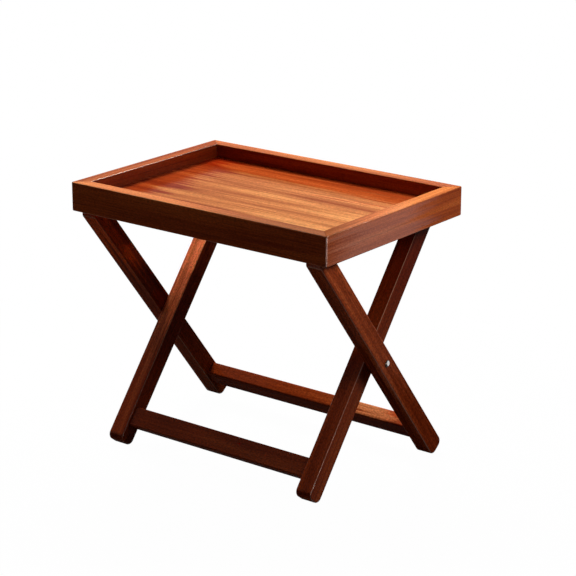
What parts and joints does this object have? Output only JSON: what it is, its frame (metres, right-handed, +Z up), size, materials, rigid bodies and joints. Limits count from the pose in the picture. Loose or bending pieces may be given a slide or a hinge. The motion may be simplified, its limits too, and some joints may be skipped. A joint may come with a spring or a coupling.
{
  "type": "folding bed table",
  "caption": "Folding bed table: a rimmed rectangular wooden tray on crossed leg frames, which close flat as the tray tips up on its rear hinges.",
  "frame": {"origin": "on the floor, under the middle of the tray", "axes": "+X along the tray to the right, -Y towards the front, +Z up"},
  "size_m": [0.6, 0.424, 0.526],
  "materials": {
    "rim_wood": "red-brown gloss varnish",
    "panel_wood": "orange-brown gloss varnish over streaky grain",
    "leg_wood": "dark red-brown satin varnish",
    "plain_wood": "bare wood",
    "steel": "polished",
    "brass": "satin"
  },
  "bodies": {
    "inner_frame": {"inner_leg_left": "leg_wood", "inner_leg_right": "leg_wood", "front_stretcher": "leg_wood", "front_stretcher_dowel_left_upper": "plain_wood", "front_stretcher_dowel_left_lower": "plain_wood", "front_stretcher_dowel_right_upper": "plain_wood", "front_stretcher_dowel_right_lower": "plain_wood", "pivot_bolt_left": "steel", "pivot_bolt_right": "steel", "pivot_washer_left": "steel", "pivot_washer_right": "steel", "pivot_insert_left": "steel", "pivot_insert_right": "steel", "hinge_leg_leaf_left": "brass", "hinge_leg_leaf_right": "brass", "hinge_pin_left": "brass", "hinge_pin_right": "brass", "leg_leaf_screw_left_a": "brass", "leg_leaf_screw_left_b": "brass", "leg_leaf_screw_right_a": "brass", "leg_leaf_screw_right_b": "brass"},
    "outer_frame": {"outer_leg_left": "leg_wood", "outer_leg_right": "leg_wood", "rear_stretcher": "leg_wood", "rear_stretcher_dowel_left_upper": "plain_wood", "rear_stretcher_dowel_left_lower": "plain_wood", "rear_stretcher_dowel_right_upper": "plain_wood", "rear_stretcher_dowel_right_lower": "plain_wood"},
    "tray": {"front_rail": "rim_wood", "rear_rail": "rim_wood", "left_rail": "rim_wood", "right_rail": "rim_wood", "tray_panel": "panel_wood", "front_cleat": "plain_wood", "rear_cleat": "plain_wood", "left_cleat": "plain_wood", "right_cleat": "plain_wood", "corner_key_front_left": "plain_wood", "corner_key_front_right": "plain_wood", "corner_key_rear_left": "plain_wood", "corner_key_rear_right": "plain_wood", "hinge_tray_leaf_left": "brass", "hinge_tray_leaf_right": "brass", "tray_leaf_screw_left_a": "brass", "tray_leaf_screw_left_b": "brass", "tray_leaf_screw_right_a": "brass", "tray_leaf_screw_right_b": "brass"}
  },
  "joints": [
    {"name": "tray_tilt", "type": "hinge", "parent": "inner_frame", "child": "tray", "pos_m": [0, 0.2076, 0.46975], "axis": [-1, 0, 0], "range_deg": [0, 120]},
    {"name": "frame_fold", "type": "hinge", "parent": "inner_frame", "child": "outer_frame", "pos_m": [0, 0, 0.2305], "axis": [-1, 0, 0], "range_deg": [0, 66]}
  ],
  "couplings": [
    {"joint": "frame_fold", "follows": "tray_tilt", "ratio": 0.55}
  ]
}
